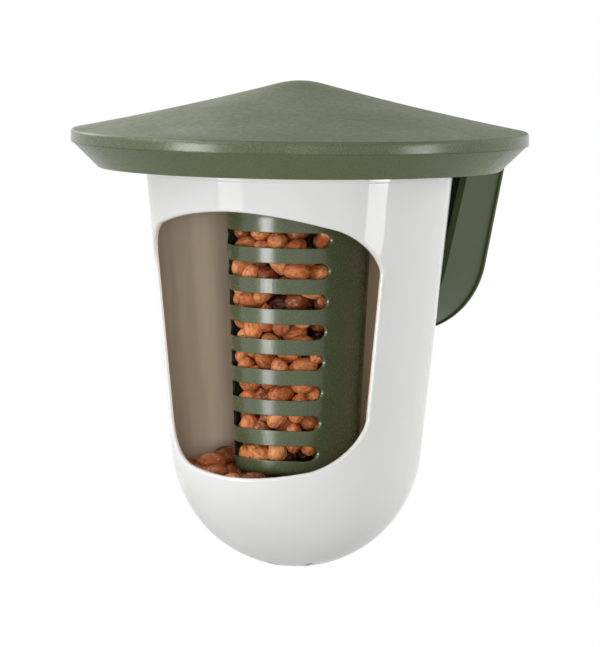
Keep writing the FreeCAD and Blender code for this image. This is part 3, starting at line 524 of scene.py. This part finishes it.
def kernel_form(rng):
    """Points of one kernel along X, with a nose, a shallow seam, dents and wrinkles, and its faces."""
    length = KERNEL_LENGTH * rng.uniform(*LENGTH_RANGE)
    girth = KERNEL_GIRTH * rng.uniform(*GIRTH_RANGE)
    along = np.cos(np.linspace(math.pi, 0.0, KERNEL_RINGS))[:, None]
    around = np.linspace(0.0, 2 * math.pi, KERNEL_SIDES, endpoint=False)[None, :]
    taper = 1.0 - rng.uniform(*SLIMMING_RANGE) * along
    profile = np.power(1.0 - np.abs(along) ** PROFILE_BLUNTNESS, PROFILE_FULLNESS)
    radius = girth / 2 * profile * taper
    seam = SEAM_DEPTH * np.exp(-(np.sin(around) / SEAM_WIDTH) ** 2) * (1.0 - along ** SEAM_FADE)
    lumps = waves(rng, along, around, LUMP_TURNS, LUMP_RANGE, LUMP_TWIST)
    wrinkles = waves(rng, along, around, WRINKLE_TURNS, WRINKLE_RANGE, WRINKLE_TWIST)
    ring = radius * (1.0 - seam + lumps + wrinkles)
    nose = np.where(along > NOSE_START, rng.uniform(*NOSE_RANGE), 0.0)
    reach = np.broadcast_to((along + nose) * length / 2, ring.shape)
    points = np.stack([reach, ring * np.cos(around), ring * np.sin(around)], 2)
    faces = []
    for low in range(0, (KERNEL_RINGS - 1) * KERNEL_SIDES, KERNEL_SIDES):
        high = low + KERNEL_SIDES
        for side in range(KERNEL_SIDES):
            after = (side + 1) % KERNEL_SIDES
            faces.append((low + side, low + after, high + after, high + side))
    return points.reshape(-1, 3), faces


def add_attribute(mesh, name, kind, field, values):
    """Values for the points of a mesh, which its material reads by name."""
    layer = mesh.attributes.new(name, kind, "POINT")
    layer.data.foreach_set(field, np.concatenate(values).astype(np.float32).ravel())


def draw_kernels(name, rng, places, axes, bare_share, shades):
    """One mesh of kernels at given places and axes, with tone and skin coordinates for the material."""
    vertices, faces, skins, tones, bares = [], [], [], [], []
    start = 0
    lengthwise = Vector((1, 0, 0))
    origin = np.array((0, 0, SKIRT))
    for place, axis, shade in zip(places, axes, shades):
        points, quads = kernel_form(rng)
        roll = Quaternion(lengthwise, rng.uniform(0, ROUND_TURN))
        spun = np.array((lengthwise.rotation_difference(Vector(axis)) @ roll).to_matrix())
        vertices.append(points @ spun.T + place + np.array(AXIS) + origin)
        faces += [tuple(start + corner for corner in quad) for quad in quads]
        skins.append(points + rng.uniform(-SKIN_SHIFT, SKIN_SHIFT, 3))
        tones.append(np.full(len(points), shade))
        bares.append(np.full(len(points), 1.0 if rng.random() < bare_share else 0.0))
        start += len(points)
    mesh = bpy.data.meshes.new(name)
    mesh.from_pydata(np.concatenate(vertices).tolist(), [], faces)
    mesh.polygons.foreach_set("use_smooth", np.ones(len(mesh.polygons), bool))
    add_attribute(mesh, "skin", "FLOAT_VECTOR", "vector", skins)
    add_attribute(mesh, "tone", "FLOAT", "value", tones)
    add_attribute(mesh, "bare", "FLOAT", "value", bares)
    mesh.update()
    mesh.materials.append(PEANUT)
    piece = bpy.data.objects.new(name, mesh)
    bpy.context.scene.collection.objects.link(piece)
    return piece


# Heaps: a start is angles in degrees from +X, distances from the axis and heights
SILO_SEED = 7
FRONT_COUNT, DEEP_COUNT, MOUTH_COUNT = 112, 66, 70
SILO_BARE_SHARE = 0.015
# Deep kernels get a near-black tone: painted shade behind the front kernels
DEEP_PAINTED_SHADE = 0.05
FRONT_START = (-200, 20), (0.020, 0.028), (-0.143, -0.022)
DEEP_START = (-200, 20), (0.009, 0.016), (-0.143, -0.022)
MOUTH_START = (0, 360), (0.0, 0.03), (-0.024, -0.010)
BOWL_SEED = 11
BED_FLOOR = -0.164
DRAIN_FLOOR = -0.200
FALL_STEP = 0.00012
LEVELNESS = np.array((1.0, 1.0, 0.55))
# Least and greatest depths behind the tube's wall, for the front kernels and for the deep ones
LEAST_DEPTHS = (0.0, 0.0100)
GREATEST_DEPTHS = (0.0070, 0.0170)
# Tones of kernels: the darkest, the spread above it and the two leanings of the random draw
SILO_SHADES = 0.15, 0.85, (1.7, 1.5)
# The bowl's tones lean dark: painted shade
BOWL_TONES_WITH_PAINTED_SHADE = 0.12, 0.8, (1.2, 3.6)


def scatter(rng, count, angles, reaches, heights):
    """Random starting places and axes, mostly level."""
    turn = np.radians(rng.uniform(*angles, count))
    reach = rng.uniform(*reaches, count)
    places = np.stack([reach * np.cos(turn), reach * np.sin(turn), rng.uniform(*heights, count)], 1)
    axes = rng.normal(0.0, 1.0, (count, 3)) * LEVELNESS
    return places, axes / np.linalg.norm(axes, axis=1)[:, None]


def join(groups):
    """Places and axes of several groups of kernels as one."""
    return tuple(np.concatenate(parts) for parts in zip(*groups))


def draw_shades(rng, count, darkest, spread, leanings):
    """Random tones of kernels, from dark to pale."""
    return darkest + spread * rng.beta(*leanings, count)


def silo_kernels():
    """Peanuts behind the slots, deeper ones near-black as painted shade, and more in the tube's mouth."""
    rng = np.random.default_rng(SILO_SEED)
    loose = join([scatter(rng, FRONT_COUNT, *FRONT_START), scatter(rng, DEEP_COUNT, *DEEP_START)])
    counts = (BALLS * FRONT_COUNT, BALLS * DEEP_COUNT)
    depths = (np.repeat(limits, counts) for limits in (LEAST_DEPTHS, GREATEST_DEPTHS))
    shown = settle(*loose, in_silo(*depths), rounds=260, fall=0.0)
    level = settle(*scatter(rng, MOUTH_COUNT, *MOUTH_START), in_mouth, rounds=160, fall=FALL_STEP)
    places, axes = join([shown, level])
    front_shades = draw_shades(rng, FRONT_COUNT, *SILO_SHADES)
    deep_painted_shades = DEEP_PAINTED_SHADE * rng.random(DEEP_COUNT)
    mouth_shades = draw_shades(rng, MOUTH_COUNT, *SILO_SHADES)
    shades = np.concatenate([front_shades, deep_painted_shades, mouth_shades])
    piece = draw_kernels("silo_kernels", rng, places, axes, SILO_BARE_SHARE, shades)
    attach(piece, "silo")
    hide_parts("peanuts_in_silo", "peanut_column")


def bowl_kernels():
    """Peanuts in the bowl: some over the drains, a bed, a ring round the tube and a heap at the left;
    their tones lean dark as painted shade.
    """
    rng = np.random.default_rng(BOWL_SEED)
    groups = [
        (DRAIN_FLOOR, scatter(rng, 26, (0, 360), (0.002, 0.026), (-0.186, -0.180))),
        (BED_FLOOR, scatter(rng, 72, (0, 360), (0.002, 0.050), (-0.160, -0.156))),
        (BED_FLOOR, scatter(rng, 32, (0, 360), (0.036, 0.050), (-0.152, -0.149))),
        (BED_FLOOR, scatter(rng, 8, (165, 250), (0.040, 0.052), (-0.145, -0.141))),
    ]
    loose = join(group for _, group in groups)
    floors = np.repeat([floor for floor, _ in groups], [BALLS * len(group[0]) for _, group in groups])
    places, axes = settle(*loose, in_bowl(floors), rounds=260, fall=FALL_STEP)
    shades = draw_shades(rng, len(places), *BOWL_TONES_WITH_PAINTED_SHADE)
    piece = draw_kernels("bowl_kernels", rng, places, axes, 0.0, shades)
    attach(piece, "housing")
    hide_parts("peanuts_in_bowl", "peanut_bed")


silo_kernels()
bowl_kernels()


# Camera at the photo's angle: degrees, metres, millimetres of lens and sensor, and pixels of shift
VIEW_TURN = 27.0
VIEW_RISE = 4.997
VIEW_ROLL = 0.625
VIEW_DISTANCE = 2.5546
TARGET = Vector((0.0, -0.115, -0.0369))
LENS_LENGTH = 288.3
SENSOR_WIDTH = 36.0
SHIFT_PIXELS = 2.05
PICTURE_HEIGHT = 647


def direction(turn, rise):
    """Unit vector from the feeder, turned from the front towards +X and raised, in degrees."""
    turn, rise = math.radians(turn), math.radians(rise)
    return Vector((math.sin(turn) * math.cos(rise), -math.cos(turn) * math.cos(rise), math.sin(rise)))


def add_camera():
    data = bpy.data.cameras.new("camera")
    data.lens = LENS_LENGTH
    data.sensor_width = SENSOR_WIDTH
    data.shift_x = SHIFT_PIXELS / PICTURE_HEIGHT
    camera = bpy.data.objects.new("camera", data)
    back = direction(VIEW_TURN, VIEW_RISE)
    roll = Quaternion((0, 0, 1), math.radians(VIEW_ROLL))
    camera.location = TARGET + back * VIEW_DISTANCE
    camera.rotation_mode = "QUATERNION"
    camera.rotation_quaternion = (-back).to_track_quat("-Z", "Y") @ roll
    bpy.context.scene.collection.objects.link(camera)
    bpy.context.scene.camera = camera


# Lights and surroundings: strips stand where the photo shows their reflections
STRIP_DISTANCE = 1.5
AMBIENT = 0.08
FLOOR_SIDES = 96
FLOOR_RADIUS = 1.5
FLOOR_LEVEL = -0.6
FLOOR_GLOW = 0.46


def add_softbox(name, turn, rise, distance, width, height, radiance, mirrored=True):
    """A soft rectangular light facing the feeder; radiance 1 is as bright as white paper.

    A light that isn't mirrored only fills shade, and shows in no glossy surface.
    """
    data = bpy.data.lights.new(name, "AREA")
    data.shape = "RECTANGLE"
    data.size = width
    data.size_y = height
    data.energy = radiance * math.pi * width * height
    lamp = bpy.data.objects.new(name, data)
    away = direction(turn, rise)
    lamp.location = TARGET + away * distance
    lamp.rotation_mode = "QUATERNION"
    lamp.rotation_quaternion = away.to_track_quat("Z", "Y")
    lamp.visible_camera = False
    lamp.visible_glossy = mirrored
    bpy.context.scene.collection.objects.link(lamp)


def add_strip(name, turn, width, sections):
    """An upright strip light of sections (lower edge, upper edge, radiance)."""
    for index, (low, high, radiance) in enumerate(sections, start=1):
        rise = math.degrees(math.atan(((low + high) / 2 - TARGET.z) / STRIP_DISTANCE))
        add_softbox(f"{name}_{index}", turn, rise, STRIP_DISTANCE, width, high - low, radiance)


def seen_directly(tree):
    """1 for rays that show a surface as it is: from the camera, by reflection or through a clear body."""
    path = tree.nodes.new("ShaderNodeLightPath")
    seen = path.outputs["Is Camera Ray"]
    for ray in ("Is Glossy Ray", "Is Transmission Ray"):
        either = tree.nodes.new("ShaderNodeMath")
        either.operation = "MAXIMUM"
        tree.links.new(seen, either.inputs[0])
        tree.links.new(path.outputs[ray], either.inputs[1])
        seen = either.outputs[0]
    return seen


def add_world():
    """White where it is seen, and a dim even light otherwise."""
    world = bpy.data.worlds.new("studio")
    bpy.context.scene.world = world
    world.use_nodes = True
    tree = world.node_tree
    background = tree.nodes["Background"]
    strength = tree.nodes.new("ShaderNodeMapRange")
    strength.inputs["To Min"].default_value = AMBIENT
    strength.inputs["To Max"].default_value = 1.0
    tree.links.new(seen_directly(tree), strength.inputs["Value"])
    tree.links.new(strength.outputs["Result"], background.inputs["Strength"])
    background.inputs["Color"].default_value = WHITE


def add_floor():
    """A round floor well below the feeder, grey to the light and pale where it is seen."""
    corners = []
    for side in range(FLOOR_SIDES):
        turn = 2 * math.pi * side / FLOOR_SIDES
        across = FLOOR_RADIUS * math.cos(turn)
        corners.append((across, AXIS.y + FLOOR_RADIUS * math.sin(turn), FLOOR_LEVEL))
    mesh = bpy.data.meshes.new("floor")
    mesh.from_pydata(corners, [], [tuple(range(FLOOR_SIDES))])
    shader = Shader("floor_paper", Roughness=0.8, Emission_Color=WHITE)
    cloud = shader.noise(shader.place(), scale=3.0, detail=3.0)
    tone = shader.ramp(cloud, [(0.3, srgb(158, 158, 157)), (0.7, srgb(164, 164, 163))])
    shader.link(tone, "Base Color")
    glow = shader.span(seen_directly(shader.tree), 0.0, 1.0, 0.0, FLOOR_GLOW)
    shader.link(glow, "Emission Strength")
    mesh.materials.append(shader.material)
    floor = bpy.data.objects.new("floor", mesh)
    bpy.context.scene.collection.objects.link(floor)


add_camera()
add_world()
add_strip("left_strip", turn=VIEW_TURN - 53, width=0.52,
          sections=[(-0.29, -0.02, 20.0), (-0.36, -0.29, 1.8), (-0.50, -0.36, 4.0)])
add_strip("right_strip", turn=VIEW_TURN + 61, width=0.42,
          sections=[(-0.29, -0.05, 17.0), (-0.38, -0.29, 4.2)])
add_softbox("window_fill", turn=VIEW_TURN + 1.5, rise=2.5, distance=2.0,
            width=0.75, height=0.5, radiance=13.6, mirrored=False)
add_softbox("left_panel", turn=VIEW_TURN - 75, rise=22, distance=2.0,
            width=1.2, height=1.0, radiance=2.5)
add_softbox("edge_fill", turn=VIEW_TURN + 121, rise=8, distance=2.0,
            width=1.2, height=1.0, radiance=4.8, mirrored=False)
add_softbox("right_fill", turn=VIEW_TURN + 78, rise=16, distance=2.2,
            width=0.9, height=0.9, radiance=2.0)
add_softbox("top_panel", turn=VIEW_TURN - 70, rise=55, distance=1.8,
            width=1.2, height=1.2, radiance=3.4)
add_softbox("back_panel", turn=VIEW_TURN - 145, rise=28, distance=2.2,
            width=1.8, height=1.0, radiance=2.6)
add_floor()
bpy.context.scene.view_settings.view_transform = "Standard"
